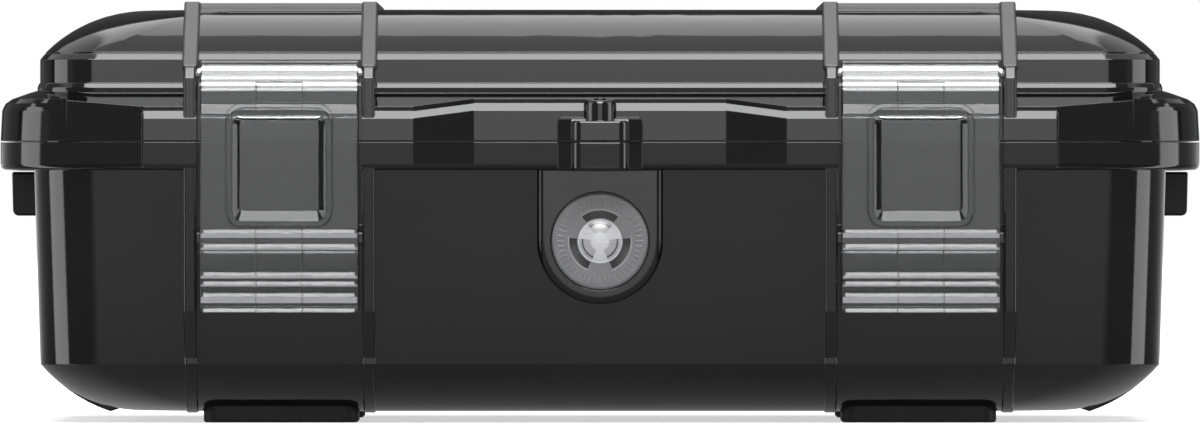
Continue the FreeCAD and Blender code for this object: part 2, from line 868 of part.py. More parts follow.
lid_face_top = lid_rim_bottom + d.lid_rim_height
step_top = lid_face_top + d.rim_chamfer_rise + d.rim_step_rise
shoulder_top = step_top + d.shoulder_rise
belt_top = shoulder_top + d.belt_height
low_ledge_top = belt_top + d.low_ledge_rise
lid_wall_bottom = low_ledge_top + d.ledge_flat_rise
lid_wall_top = lid_wall_bottom + d.lid_wall_height
high_ledge_top = lid_wall_top + d.high_ledge_rise
dome_foot = high_ledge_top + d.ledge_flat_rise
dome_base = dome_foot + d.dome_step
dome_top = dome_base + d.dome_rise
step_run = d.rim_chamfer_run - d.rim_step_lean
belt_width = d.rim_width - 2 * d.rim_end_run
belt_depth = d.rim_depth - 2 * (step_run + d.shoulder_run)
low_ledge_width = belt_width - 2 * d.low_ledge_end_run
low_ledge_depth = belt_depth - 2 * d.low_ledge_run
lid_wall_width = low_ledge_width - 2 * d.ledge_flat_end
lid_wall_depth = low_ledge_depth - 2 * d.ledge_flat
high_ledge_width = lid_wall_width - 2 * d.high_ledge_end_run
high_ledge_depth = lid_wall_depth - 2 * d.high_ledge_run
dome_width = high_ledge_width - 2 * d.ledge_flat_end
dome_depth = high_ledge_depth - 2 * d.ledge_flat


def lid_section(name, height, width, depth, corner):
    return free_sketch(name, "XY", height, rounded_rectangle(width, depth, corner))


# Up the rim: shares of the chamfer, step and shoulder at the front, of the rounder run at the ends and of the
# change from the rim's corner to the belt's
RIM_SHARES = (
    (0, 0, 0, 0.04, 0),
    (0.5, 0, 0, 0.08, 0.2),
    (1, 0, 0, 0.14, 0.4),
    (1, 1, 0, 0.32, 0.5),
    (1, 1, 0.5, 0.53, 0.6),
    (1, 1, 1, 0.74, 0.8),
    (1, 1, 1.25, 0.86, 0.9),
    (1, 1, 1.7, 1.1, 1.1),
)
rim_sections = [lid_section("lid_rim_bottom", lid_rim_bottom, d.rim_width, d.rim_depth, d.rim_corner)]
for number, (chamfer_share, step_share, shoulder_share, end_share, corner_share) in enumerate(RIM_SHARES):
    height = lid_face_top + (d.rim_chamfer_rise * chamfer_share + d.rim_step_rise * step_share
                             + d.shoulder_rise * shoulder_share)
    front_run = (d.rim_chamfer_run * chamfer_share - d.rim_step_lean * step_share
                 + d.shoulder_run * shoulder_share)
    end_run = d.rim_end_run * end_share
    corner = d.rim_corner - (d.rim_corner - d.belt_corner) * corner_share
    rim_sections.append(lid_section(f"lid_rim_{number}", height, d.rim_width - 2 * end_run,
                                    d.rim_depth - 2 * front_run, corner))
lid_rim = loft("lid_rim", rim_sections)
lid_steps = loft("lid_steps", [
    lid_section("lid_belt_root", lid_face_top, belt_width, belt_depth, d.belt_corner),
    lid_section("lid_belt_low", shoulder_top, belt_width, belt_depth, d.belt_corner),
    lid_section("lid_belt_high", belt_top, belt_width, belt_depth + 2 * d.belt_lean, d.belt_corner),
    lid_section("lid_low_ledge", low_ledge_top, low_ledge_width, low_ledge_depth, d.lid_corner),
    lid_section("lid_wall_low", lid_wall_bottom, lid_wall_width, lid_wall_depth, d.lid_corner),
    lid_section("lid_wall_high", lid_wall_top, lid_wall_width, lid_wall_depth, d.lid_corner),
    lid_section("lid_high_ledge", high_ledge_top, high_ledge_width, high_ledge_depth, d.lid_corner),
    lid_section("lid_dome_foot", dome_foot, dome_width, dome_depth, d.lid_corner),
    lid_section("lid_dome_step", dome_base, dome_width, dome_depth, d.lid_corner),
])
dome_sections = []
for number, (inset, drop) in enumerate(arc_shares(d.dome_rise, d.dome_inset, ARC_SHARES)):
    dome_sections.append(lid_section(f"dome_{number}", dome_top - drop, dome_width - 2 * inset,
                                     dome_depth - 2 * inset, d.lid_corner + inset * d.dome_corner_share))
dome = loft("dome", dome_sections, ruled=False)
lid_pieces = [lid_rim, lid_steps, dome]

shoulder_slope = d.shoulder_rise / d.shoulder_run
shoulder_front = rim_front + step_run
for side, sign in SIDES.items():
    sections = []
    for number, (place, face, chamfered) in enumerate(zone_places(sign)):
        edge = face + step_run if chamfered else face
        edge_height = step_top + (edge - shoulder_front) * shoulder_slope
        chamfer_top = edge_height - d.rim_step_rise
        sections.append(free_sketch(f"{side}_lid_zone_{number}", "YZ", place, [
            (zone_root, lid_rim_bottom),
            (face, lid_rim_bottom),
            (face, chamfer_top - d.rim_chamfer_rise),
            (face + d.rim_chamfer_run if chamfered else face, chamfer_top),
            (edge, edge_height),
            (zone_root, step_top + (zone_root - shoulder_front) * shoulder_slope),
        ]))
    lid_pieces.append(loft(f"{side}_lid_zone", sections))

# Lid: ribs over the dome, the guards beside the latches and hinges, stacking fences and the padlock lug

rib_top = dome_top + d.lid_rib_proud
rib_front = guard_face + d.lid_rib_setback
rib_rear = rear_guard_face - d.lid_rib_setback
guard_shelf = d.guard_top + d.guard_top_rise
for name, place in RIBS.items():
    lid_pieces.append(slab(f"{name}_lid_rib", "YZ", place, d.lid_rib_width, [
        (rib_front, d.lid_rib_under),
        (rib_front, d.lid_rib_nose),
        (rib_front + d.lid_rib_run, rib_top),
        (rib_rear - d.lid_rib_run, rib_top),
        (rib_rear, d.lid_rib_nose),
        (rib_rear, d.lid_rib_under),
    ], d.rib_edge))
    lid_pieces.append(slab(f"{name}_lid_guard", "YZ", place, d.rib_width, [
        (guard_face, lid_rim_bottom),
        (guard_face, d.guard_top),
        (guard_face + d.guard_top_run, guard_shelf),
        (rear_guard_face - d.guard_top_run, guard_shelf),
        (rear_guard_face, d.guard_top),
        (rear_guard_face, lid_rim_bottom),
    ], d.rib_edge))

fence_top = rib_top - d.fence_drop
fence_root = fence_top - d.fence_root
for side, sign in SIDES.items():
    for row, way in (("front", -1), ("rear", 1)):
        outline = [
            (d.fence_front, fence_root),
            (d.fence_front, fence_top - d.fence_riser - 2 * d.fence_step_rise),
            (d.fence_front - d.fence_step_run, fence_top - d.fence_riser - d.fence_step_rise),
            (d.fence_front - d.fence_step_run, fence_top - d.fence_step_rise),
            (d.fence_front - 2 * d.fence_step_run, fence_top),
            (d.fence_front - 2 * d.fence_step_run - d.fence_flat, fence_top),
            (d.fence_front - 2 * d.fence_step_run - d.fence_flat, fence_root),
        ]
        outline = [(way * across, height) for across, height in outline]
        lid_pieces.append(slab(f"{side}_{row}_fence", "YZ", sign * d.latch_centre, d.rib_pitch, outline))

neck_outline = [
    (-d.neck_half_width, lug_root),
    (-d.neck_half_width, guard_face + d.neck_half_width),
    (d.neck_half_width, guard_face + d.neck_half_width, 0, guard_face),
    (d.neck_half_width, lug_root),
]
for name, outline, top, round_edge in (
    ("lid_lug", lug_outline, d.lug_top, d.lug_round),
    ("lid_boss", boss_outline, d.boss_top, d.boss_round),
    ("lid_neck", neck_outline, d.neck_top, d.neck_round),
):
    body = slab(name, "XY", lid_rim_bottom, top - lid_rim_bottom, outline, both_ways=False)
    soften(body, body.Tip, round_edge,
           lambda edge: edge.BoundBox.ZMin > lid_rim_bottom.number + d.lug_round.number)
    lid_pieces.append(body)

# Lid: cavity, wells, gasket groove, padlock and pin bores, then its hinge knuckles

lid_hollow_width = lid_wall_width - 2 * d.shell_wall
lid_hollow_depth = d.rim_depth - 2 * d.lid_hollow_inset
lid_hollow_corner = d.lid_corner - d.shell_wall
lid_hollow_bend = lid_wall_top - d.shell_wall / 4
roof = dome_top - d.shell_wall
lid_cuts = [loft("lid_cavity", [
    lid_section("lid_cavity_low", d.parting_height - d.parting_gap, lid_hollow_width, lid_hollow_depth,
                lid_hollow_corner),
    lid_section("lid_cavity_bend", lid_hollow_bend, lid_hollow_width, lid_hollow_depth, lid_hollow_corner),
    lid_section("lid_cavity_roof", roof, lid_hollow_width - 2 * d.roof_inset,
                lid_hollow_depth - 2 * d.roof_inset, lid_hollow_corner),
])]
lid_cuts += wells("lid", d.parting_height - d.parting_gap, d.parting_height + d.well_top)

gasket_bottom = base_rim_top + d.tongue_height + d.gasket_rest_gap
groove_top = gasket_bottom + d.gasket_height
lid_cuts.append(ring("groove", d.parting_height, groove_top - d.parting_height,
                     d.gasket_width + 2 * d.gasket_side_gap))
lid_cuts.append(cylinder("lid_padlock_bore", "z", (0, padlock_line, d.parting_height - d.parting_gap),
                         d.padlock_radius, d.neck_top - d.parting_height + d.lid_rim_height))
latch_pin_half = well_half + d.latch_pin_seat
latch_bore = d.latch_pin_radius + d.latch_pin_clearance
for side, sign in SIDES.items():
    lid_cuts.append(cylinder(f"{side}_latch_pin_bore", "x",
                             (sign * d.latch_centre - latch_pin_half, latch_pin_line, d.latch_pin_height),
                             latch_bore, 2 * latch_pin_half))

lid_form = cut("lid_form", fuse("lid_solid", *lid_pieces), *lid_cuts)
lid_knuckles = []
for side, sign in SIDES.items():
    lid_knuckles += knuckle(f"{side}_lid_knuckle", sign * d.latch_centre - d.hinge_lid_half,
                            2 * d.hinge_lid_half, lid_rim_bottom, hinge_high)
lid_shell = cut("lid_shell", fuse("lid_hinged", lid_form, *lid_knuckles), *hinge_bores("lid"))

NODES = {"base_shell": base_shell, "lid_shell": lid_shell}

# Gasket, in the lid's groove

NODES["lid_gasket"] = ring("lid_gasket", gasket_bottom, d.gasket_height, d.gasket_width)

# Liner inside the base

liner_top = base_rim_top - d.liner_top_drop
liner_shrink = d.liner_gap + d.liner_wall
NODES["base_liner"] = cut(
    "base_liner",
    tub("liner_outer", d.liner_gap, floor, cavity_bend, liner_top),
    tub("liner_inner", liner_shrink, floor + d.liner_wall, cavity_bend + d.liner_wall / 2, cavity_top),
    cylinder("liner_valve_hole", "y", (0, nut_seat - d.shell_wall, d.valve_height),
             d.liner_valve_hole, 4 * d.shell_wall))

# Hinge and latch pins

for side, sign in SIDES.items():
    centre = sign * d.latch_centre
    hinge_pin_half = well_half - d.hinge_gap
    NODES[f"{side}_hinge_pin"] = cylinder(f"{side}_hinge_pin", "x",
                                          (centre - hinge_pin_half, hinge_line, d.parting_height),
                                          d.hinge_pin_radius, 2 * hinge_pin_half)
    pin_half = latch_pin_half - d.hinge_gap / 2
    NODES[f"{side}_latch_pin"] = cylinder(f"{side}_latch_pin", "x",
                                          (centre - pin_half, latch_pin_line, d.latch_pin_height),
                                          d.latch_pin_radius, 2 * pin_half)

# Latches: one clear moulding each, hung on its pin, with a hook that sits under the base's catch

latch_front = guard_face
latch_back = latch_front + d.latch_thickness
step_front = latch_front + d.latch_chamfer_run
step_back = step_front + d.latch_thickness
latch_face_top = d.latch_chamfer_top - d.latch_chamfer_rise
knuckle_bend = d.latch_knuckle * DIAGONAL
hook_top = d.catch_under - d.hook_gap
hook_end = latch_back + d.hook_reach
plate_middle = latch_front + d.latch_thickness / 2
panel_height = d.panel_top - d.panel_bottom
panel_middle = (d.panel_top + d.panel_bottom) / 2
grip_height = d.panel_bottom - d.latch_bottom
grip_length = d.latch_width - 2 * d.latch_corner
# Lower and upper edge of each grip line, as shares of the height under the finger panel
GRIP_SHARES = (
    (0, 0.046),
    (0.105, 0.213),
    (0.287, 0.346),
    (0.374, 0.441),
    (0.685, 0.749),
    (0.815, 0.906),
)


def panel(centre, side, low, high):
    """The latch's finger panel, larger at its sides, lower edge and upper edge by three sizes."""
    outline = rounded_rectangle(d.panel_width + 2 * side, panel_height + low + high, d.panel_corner + side)
    return moved(outline, centre, panel_middle + (high - low) / 2)


for side, sign in SIDES.items():
    name = f"{side}_latch"
    centre = sign * d.latch_centre
    body = doc.addObject("PartDesign::Body", name)
    plate = pad(body, body_sketch(body, f"{name}_profile", "YZ", centre, [
        (latch_pin_line - d.latch_knuckle * cosine(d.knuckle_front_angle),
         d.latch_pin_height + d.latch_knuckle * sine(d.knuckle_front_angle),
         latch_pin_line + knuckle_bend, d.latch_pin_height + knuckle_bend),
        (step_front, d.latch_chamfer_top + d.latch_step),
        (step_front, d.latch_chamfer_top),
        (latch_front, latch_face_top),
        (latch_front, d.latch_bottom),
        (latch_back, d.latch_bottom),
        (latch_back, latch_face_top - d.latch_back_drop),
        (step_back, d.latch_chamfer_top - d.latch_back_drop),
        (step_back, d.latch_chamfer_top + d.latch_step),
        (latch_pin_line + d.latch_knuckle * cosine(d.knuckle_back_angle),
         d.latch_pin_height - d.latch_knuckle * sine(d.knuckle_back_angle)),
    ]), d.latch_width, both_ways=True)
    rounded = soften(body, plate, d.latch_corner, lambda edge: (
        edge.BoundBox.ZMax < d.latch_bottom.number + d.latch_edge.number
        and edge.BoundBox.XLength < d.latch_edge.number))
    soften(body, rounded, d.latch_edge)
    bead_face = latch_front - d.bead_proud
    bead = pad(body, body_sketch(body, f"{name}_bead", "XZ", -(latch_front + d.bead_root),
                                 panel(centre, d.bead_width, d.bead_width, d.bead_width)),
               d.bead_root + d.bead_proud)
    soften(body, bead, d.bead_edge,
           lambda edge: edge.BoundBox.YMax < bead_face.number + d.bead_edge.number)
    dish = body.newObject("PartDesign::SubtractiveLoft", f"{name}_dish")
    dish.Profile = body_sketch(body, f"{name}_dish_mouth", "XZ", -bead_face, panel(centre, 0, 0, 0))
    dish.Sections = [body_sketch(body, f"{name}_dish_floor", "XZ", -(latch_front + d.panel_depth),
                                 panel(centre, -d.panel_side_slope, -d.panel_low_slope, -d.panel_high_slope))]
    dish.Ruled = True
    doc.recompute()
    pad(body, body_sketch(body, f"{name}_hook", "YZ", centre, [
        (plate_middle, hook_top - d.hook_height),
        (hook_end - d.hook_nose, hook_top - d.hook_height),
        (hook_end, hook_top - d.hook_height + d.hook_nose),
        (hook_end, hook_top - d.hook_nose),
        (hook_end - d.hook_nose, hook_top),
        (plate_middle, hook_top),
    ]), grip_length, both_ways=True)
    pad(body, body_sketch(body, f"{name}_return", "YZ", centre, [
        (plate_middle, d.latch_bottom),
        (latch_back + d.return_reach, d.latch_bottom),
        (latch_back + d.return_reach, d.latch_bottom + d.return_height),
        (plate_middle, d.latch_bottom + d.return_height),
    ]), grip_length, both_ways=True)
    line_face = latch_front - d.grip_line_proud
    for number, (low_share, high_share) in enumerate(GRIP_SHARES):
        line_low = d.latch_bottom + grip_height * low_share
        line_high = d.latch_bottom + grip_height * high_share
        pad(body, body_sketch(body, f"{name}_grip_line_{number}", "YZ", centre, [
            (plate_middle, line_low),
            (line_face, line_low),
            (line_face, line_high - d.grip_line_facet),
            (latch_front, line_high),
            (plate_middle, line_high),
        ]), grip_length, both_ways=True)
    bore_sketch = body_sketch(body, f"{name}_bore", "YZ", centre)
    draw_circle(bore_sketch, (latch_pin_line, d.latch_pin_height), latch_bore)
    pocket(body, bore_sketch, 2 * d.latch_width, both_ways=True)
    NODES[name] = body

# Feet, pressed into pockets under the base

for name, (across, along) in FEET.items():
    outline = moved(rounded_rectangle(d.foot_width, d.foot_length, d.foot_corner), across, along)
    body = doc.addObject("PartDesign::Body", name)
    block = pad(body, body_sketch(body, f"{name}_outline", "XY", 0, outline), d.foot_thickness)
    soften(body, block, d.foot_edge, lambda edge: edge.BoundBox.ZMax < d.foot_edge.number / 2)
    NODES[name] = body

# Pressure valve, from the outside in: cap, membrane, flanged barrel, seal and nut

seal_front = valve_floor - d.seal_thickness
flange_front = seal_front - d.flange_thickness
cap_face = valve_boss_face - d.cap_proud
cap_under = cap_face + d.cap_disc
edge_bend = d.cap_edge * (1 - DIAGONAL)
dome_bend = d.cap_dome_radius / 2
dome_mid = cap_face - d.cap_dome_rise * 3 / 4
valve_cap = turned("valve_cap", [
    (cap_under, 0),
    (cap_face - d.cap_dome_rise, 0),
    (cap_face, d.cap_dome_radius, dome_mid, dome_bend),
    (cap_face, d.cap_radius - d.cap_edge),
    (cap_face + d.cap_edge, d.cap_radius, cap_face + edge_bend, d.cap_radius - edge_bend),
    (flange_front, d.cap_radius),
    (flange_front, d.cap_radius - d.cap_skirt_wall),
    (cap_under, d.cap_radius - d.cap_skirt_wall),
])
window_across = sine(d.window_half_angle)
window_up = cosine(d.window_half_angle)
window = pocket(valve_cap, body_sketch(valve_cap, "window_outline", "XZ", -cap_face, [
    (d.window_inner * -window_across, d.window_inner * window_up),
    (d.window_inner * window_across, d.window_inner * window_up, 0, d.window_inner),
    (d.window_outer * window_across, d.window_outer * window_up),
    (d.window_outer * -window_across, d.window_outer * window_up, 0, d.window_outer),
]), 2 * d.cap_disc)
windows = valve_cap.newObject("PartDesign::PolarPattern", "windows")
windows.Originals = [window]
windows.Axis = (window.Profile[0], ["N_Axis"])
windows.Angle = 360
windows.Occurrences = 3
valve_cap.Tip = windows
NODES["valve_cap"] = valve_cap

membrane_front = flange_front - d.membrane_thickness
NODES["valve_membrane"] = turned("valve_membrane", [
    (membrane_front, 0),
    (membrane_front, d.membrane_radius),
    (flange_front, d.membrane_radius),
    (flange_front, 0),
])
nut_end = nut_seat + d.nut_thickness
barrel_end = nut_end + d.barrel_reach
NODES["valve_body"] = turned("valve_body", [
    (flange_front, d.barrel_bore),
    (flange_front, d.flange_radius),
    (seal_front, d.flange_radius),
    (seal_front, d.barrel_radius),
    (barrel_end, d.barrel_radius),
    (barrel_end, d.barrel_bore),
])
NODES["valve_seal"] = turned("valve_seal", [
    (seal_front, d.seal_inner),
    (seal_front, d.seal_outer),
    (valve_floor, d.seal_outer),
    (valve_floor, d.seal_inner),
])
valve_nut = doc.addObject("PartDesign::Body", "valve_nut")
nut_across = d.nut_flats / root(as_size(3))
nut_outline = [
    (nut_across * cosine(as_size(angle)), nut_across * sine(as_size(angle)))
    for angle in (0, 60, 120, 180, 240, 300)
]
nut_sketch = body_sketch(valve_nut, "valve_nut_outline", "XZ", -nut_end, nut_outline)
draw_circle(nut_sketch, (0, 0), d.barrel_radius + d.barrel_clearance)
pad(valve_nut, nut_sketch, d.nut_thickness)
NODES["valve_nut"] = valve_nut
for name in ("valve_cap", "valve_membrane", "valve_body", "valve_seal", "valve_nut"):
    bind(NODES[name], "Placement.Base.z", d.valve_height)

# Strap loops: a plate in the end wall, two ears and the bar the strap goes round

for side, sign in SIDES.items():
    name = f"{side}_strap_loop"
    loop_bend = d.loop_corner * (1 - DIAGONAL)
    ear_outer = loop_outer - d.loop_draft
    ear = [
        (sign * loop_inner, loop_top),
        (sign * loop_inner, loop_bottom),
        (sign * (ear_outer - d.loop_corner), loop_bottom),
        (sign * ear_outer, loop_bottom + d.loop_corner,
         sign * (ear_outer - loop_bend), loop_bottom + loop_bend),
        (sign * loop_outer, loop_top),
    ]
    pieces = []
    for place, way in (("front", 1), ("rear", -1)):
        pieces.append(slab(f"{name}_{place}_ear", "XZ", way * (loop_half - d.loop_ear / 2), d.loop_ear, ear,
                           d.loop_edge))
    plate_ends = sorted((sign * loop_inner, sign * (loop_inner + d.loop_plate)), key=lambda end: end.number)
    bar_ends = sorted((sign * (ear_outer - d.loop_bar), sign * ear_outer), key=lambda end: end.number)
    pieces.append(box(f"{name}_plate", (plate_ends[0], -loop_half + d.loop_edge, loop_bottom),
                      (plate_ends[1], loop_half - d.loop_edge, loop_top)))
    pieces.append(box(f"{name}_bar", (bar_ends[0], d.loop_edge - loop_half, loop_bottom + d.loop_corner),
                      (bar_ends[1], loop_half - d.loop_edge, loop_bottom + d.loop_bar_height)))
    NODES[name] = fuse(name, *pieces)

# Checks and export

doc.recompute()
for thing in doc.Objects:
    if "Invalid" in thing.State or "Error" in thing.State:
        raise RuntimeError(f"{thing.Name} does not recompute: {thing.State}")
os.makedirs("parts", exist_ok=True)
for name, thing in NODES.items():
    thing.Label = name
    if thing.Shape.isNull() or not thing.Shape.isValid():
        raise RuntimeError(f"{name} has no valid shape")
    thing.Shape.exportStep(f"parts/{name}.step")
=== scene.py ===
import bpy
import math
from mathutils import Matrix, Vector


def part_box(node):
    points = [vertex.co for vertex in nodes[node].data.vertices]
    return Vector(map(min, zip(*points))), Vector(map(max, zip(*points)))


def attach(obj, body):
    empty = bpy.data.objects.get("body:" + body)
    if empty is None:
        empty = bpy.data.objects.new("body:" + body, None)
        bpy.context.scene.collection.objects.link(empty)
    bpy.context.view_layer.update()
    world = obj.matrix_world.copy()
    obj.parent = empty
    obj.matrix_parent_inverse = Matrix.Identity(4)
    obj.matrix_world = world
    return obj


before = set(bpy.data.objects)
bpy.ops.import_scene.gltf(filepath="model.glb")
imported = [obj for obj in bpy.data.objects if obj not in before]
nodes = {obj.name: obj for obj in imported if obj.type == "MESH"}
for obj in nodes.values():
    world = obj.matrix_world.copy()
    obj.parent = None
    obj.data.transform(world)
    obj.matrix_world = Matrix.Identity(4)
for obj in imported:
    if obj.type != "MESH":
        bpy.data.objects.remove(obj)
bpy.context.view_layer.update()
scene = bpy.context.scene

# Base shell
# The deep lower half of the case, injection-moulded in glossy black plastic in one piece with its rim flange,
# ribs, latch catches and valve boss. It carries the feet, the strap loops, the valve and the liner.

shell_black = (0.0015, 0.0015, 0.0017, 1)
shell_worn = (0.003, 0.003, 0.0032, 1)
shell_sheen = 0.5
shell_edge = 0.00025
rim_draft = 0.026
rim_low = 0.0545
rim_high = 0.0615
rub_stretch = (1, 3, 14)
rub_turn = (0.4, 0.2, 0.7)
noise_middle = 0.5
edge_samples = 6


def place(tree, kind, inputs, **settings):
    """Adds a node with its settings; an input is a plain value or another node's output."""
    made = tree.nodes.new(kind)
    for name, value in settings.items():
        setattr(made, name, value)
    for name, value in inputs.items():
        if isinstance(value, bpy.types.NodeSocket):
            tree.links.new(value, made.inputs[name])
        else:
            made.inputs[name].default_value = value
    return made


def compute(tree, operation, *values):
    """The result of one sum on values or outputs."""
    return place(tree, "ShaderNodeMath", dict(enumerate(values)), operation=operation).outputs["Value"]


def blend_colours(tree, share, first, second):
    """A colour that goes from the first to the second as the share goes from zero to one."""
    mixed = place(tree, "ShaderNodeMix", {"Factor": share, "A": first, "B": second}, data_type="RGBA")
    return mixed.outputs["Result"]


def shader_group(name, inputs, outputs):
    """An empty shader node group with named float inputs and outputs given by kind."""
    group = bpy.data.node_groups.new(name, "ShaderNodeTree")
    for label, value in inputs.items():
        socket = group.interface.new_socket(name=label, in_out="INPUT", socket_type="NodeSocketFloat")
        socket.default_value = value
    for label, kind in outputs.items():
        group.interface.new_socket(name=label, in_out="OUTPUT", socket_type=f"NodeSocket{kind}")
    return group, group.nodes.new("NodeGroupInput").outputs, group.nodes.new("NodeGroupOutput").inputs


def grouped(tree, group, inputs):
    """Places a node group in a tree and hands back its outputs."""
    return place(tree, "ShaderNodeGroup", inputs, node_tree=group).outputs


def moulded_surface():
    """The skin of a moulded part: slow flow mottling, fine orange peel and a few hairline rubs."""
    group, given, result = shader_group(
        "moulded_surface",
        {"Roughness": 0.2, "Spread": 0.05, "Flow Scale": 45, "Peel Scale": 900, "Rub Scale": 60},
        {"Roughness": "Float", "Height": "Float", "Tone": "Float"})
    where = place(group, "ShaderNodeTexCoord", {}).outputs["Object"]
    flow = place(group, "ShaderNodeTexNoise", {"Vector": where, "Scale": given["Flow Scale"], "Detail": 4})
    peel = place(group, "ShaderNodeTexNoise", {"Vector": where, "Scale": given["Peel Scale"], "Detail": 1})
    drawn = place(group, "ShaderNodeMapping", {"Vector": where, "Scale": rub_stretch, "Rotation": rub_turn})
    rub = place(group, "ShaderNodeTexNoise",
                {"Vector": drawn.outputs["Vector"], "Scale": given["Rub Scale"], "Detail": 6})
    rubbed = place(group, "ShaderNodeMapRange",
                   {"Value": rub.outputs["Fac"], "From Min": 0.6, "From Max": 0.75, "To Max": 0.6})
    mixed = compute(group, "ADD", flow.outputs["Fac"], rubbed.outputs["Result"])
    swing = compute(group, "SUBTRACT", mixed, noise_middle)
    rough = compute(group, "MULTIPLY_ADD", swing, given["Spread"], given["Roughness"])
    group.links.new(rough, result["Roughness"])
    group.links.new(peel.outputs["Fac"], result["Height"])
    group.links.new(flow.outputs["Fac"], result["Tone"])
    return group


def rounded_edges():
    """The small radius that a mould leaves on every edge, and a mask of where those edges are."""
    group, given, result = shader_group("rounded_edges", {"Radius": 0.0004},
                                        {"Normal": "Vector", "Edge": "Float"})
    bevel = place(group, "ShaderNodeBevel", {"Radius": given["Radius"]},
                  samples=edge_samples).outputs["Normal"]
    true_normal = place(group, "ShaderNodeNewGeometry", {}).outputs["Normal"]
    agree = place(group, "ShaderNodeVectorMath", {0: bevel, 1: true_normal}, operation="DOT_PRODUCT")
    edge = place(group, "ShaderNodeMapRange",
                 {"Value": agree.outputs["Value"], "From Min": 1.0, "From Max": 0.8})
    group.links.new(bevel, result["Normal"])
    group.links.new(edge.outputs["Result"], result["Edge"])
    return group


surface_group = moulded_surface()
edge_group = rounded_edges()


def new_material(name):
    """A new material with its node tree and its shader."""
    material = bpy.data.materials.new(name)
    material.use_nodes = True
    tree = material.node_tree
    return material, tree, tree.nodes["Principled BSDF"]


def mould(tree, shader, roughness, spread, peel_depth, edge_radius, flow_scale=45, peel_scale=900):
    """Gives a shader a moulded skin: roughness that wanders, a fine peel and rounded edges."""
    surface = grouped(tree, surface_group, {"Roughness": roughness, "Spread": spread,
                                            "Flow Scale": flow_scale, "Peel Scale": peel_scale})
    edges = grouped(tree, edge_group, {"Radius": edge_radius})
    bump = place(tree, "ShaderNodeBump",
                 {"Height": surface["Height"], "Normal": edges["Normal"], "Distance": peel_depth})
    tree.links.new(surface["Roughness"], shader.inputs["Roughness"])
    tree.links.new(bump.outputs["Normal"], shader.inputs["Normal"])
    return surface["Tone"], edges["Edge"]


def moulded_plastic(name, colour, worn, sheen, **skin):
    """Moulded plastic or rubber in two close tones, with the lighter one on rubbed edges."""
    material, tree, shader = new_material(name)
    tone, edge = mould(tree, shader, **skin)
    mottled = blend_colours(tree, tone, colour, worn)
    tree.links.new(blend_colours(tree, edge, mottled, worn), shader.inputs["Base Color"])
    shader.inputs["Specular IOR Level"].default_value = sheen
    return material


def rim_taper():
    """How far the base's rim stands out with height, from its underside to its top."""
    group, _, result = shader_group("rim_taper", {}, {"Height": "Float"})
    where = place(group, "ShaderNodeTexCoord", {}).outputs["Object"]
    level = place(group, "ShaderNodeSeparateXYZ", {0: where}).outputs["Z"]
    edge_highlighted = compute(group, "SUBTRACT", compute(group, "MINIMUM", level, rim_high), rim_low)
    group.links.new(compute(group, "MAXIMUM", edge_highlighted, 0), result["Height"])
    return group


def tapered(material):
    """Leans a material's normals along the rim of the base."""
    tree = material.node_tree
    shader = tree.nodes["Principled BSDF"]
    skin = shader.inputs["Normal"].links[0].from_socket
    taper = grouped(tree, rim_taper(), {})["Height"]
    lean = place(tree, "ShaderNodeBump", {"Height": taper, "Normal": skin, "Distance": rim_draft})
    tree.links.new(lean.outputs["Normal"], shader.inputs["Normal"])


def dress(material, *names):
    """Gives solids of the case their material."""
    for name in names:
        nodes[name].data.materials.clear()
        nodes[name].data.materials.append(material)


base_plastic = moulded_plastic("base_plastic", shell_black, shell_worn, shell_sheen, roughness=0.075,
                               spread=0.04, peel_depth=0.000002, edge_radius=shell_edge)
tapered(base_plastic)
dress(base_plastic, "base_shell")

# Strap loops
# Two small loops for a carrying strap, in the base's black plastic made duller as painted shade on their
# fronts. Each is set into an end wall under the rim.

# Painted shade: the loops' duller finish darkens their fronts
loop_shade_sheen = 0.2
shaded_loop_plastic = moulded_plastic("shaded_loop_plastic", shell_black, shell_worn, loop_shade_sheen, roughness=0.22,
                               spread=0.06, peel_depth=0.000004, edge_radius=shell_edge)
dress(shaded_loop_plastic, "left_strap_loop", "right_strap_loop")

# Feet
# Four pads that keep the case from sliding, moulded in matt black rubber with a fine pebbled skin. They
# are pressed into pockets under the base.

foot_black = (0.003, 0.003, 0.003, 1)
foot_worn = (0.006, 0.006, 0.006, 1)
rubber_sheen = 0.3
foot_rubber = moulded_plastic("foot_rubber", foot_black, foot_worn, rubber_sheen, roughness=0.5, spread=0.15,
                              peel_depth=0.00003, edge_radius=0.0003, peel_scale=2400)
dress(foot_rubber, *(f"{row}_{side}_foot" for row in ("front", "rear") for side in ("left", "right")))

# Liner
# A soft tray that guards what the case holds, moulded in matt charcoal rubber with a pebbled grain. It
# lies loose in the base.

liner_charcoal = (0.03, 0.03, 0.032, 1)
liner_worn = (0.045, 0.045, 0.047, 1)
liner_rubber = moulded_plastic("liner_rubber", liner_charcoal, liner_worn, rubber_sheen, roughness=0.62,
                               spread=0.12, peel_depth=0.00005, edge_radius=0.0006, peel_scale=1400)
dress(liner_rubber, "base_liner")

# Pressure valve
# A flanged plastic barrel through the front wall, with a seal, a nut and a vent membrane. Its frosted grey
# cap has three vent windows, a clear domed middle and a ring of plain ticks. Its colour carries painted
# highlights: on its edges, over the dome in three lobes and along the windows' outer edges.

barrel_grey = (0.05, 0.05, 0.052, 1)
barrel_worn = (0.075, 0.075, 0.078, 1)
barrel_sheen = 0.4
vent_pale = (0.7, 0.7, 0.69, 1)
vent_worn = (0.78, 0.78, 0.77, 1)
vent_sheen = 0.2
valve_grey = moulded_plastic("valve_grey", barrel_grey, barrel_worn, barrel_sheen, roughness=0.4, spread=0.1,
                             peel_depth=0.00001, edge_radius=0.0002)
dress(valve_grey, "valve_body", "valve_nut")
dress(foot_rubber, "valve_seal")
vent_white = moulded_plastic("vent_white", vent_pale, vent_worn, vent_sheen, roughness=0.7, spread=0.1,
                             peel_depth=0.00002, edge_radius=0.0001, peel_scale=4000)
dress(vent_white, "valve_membrane")

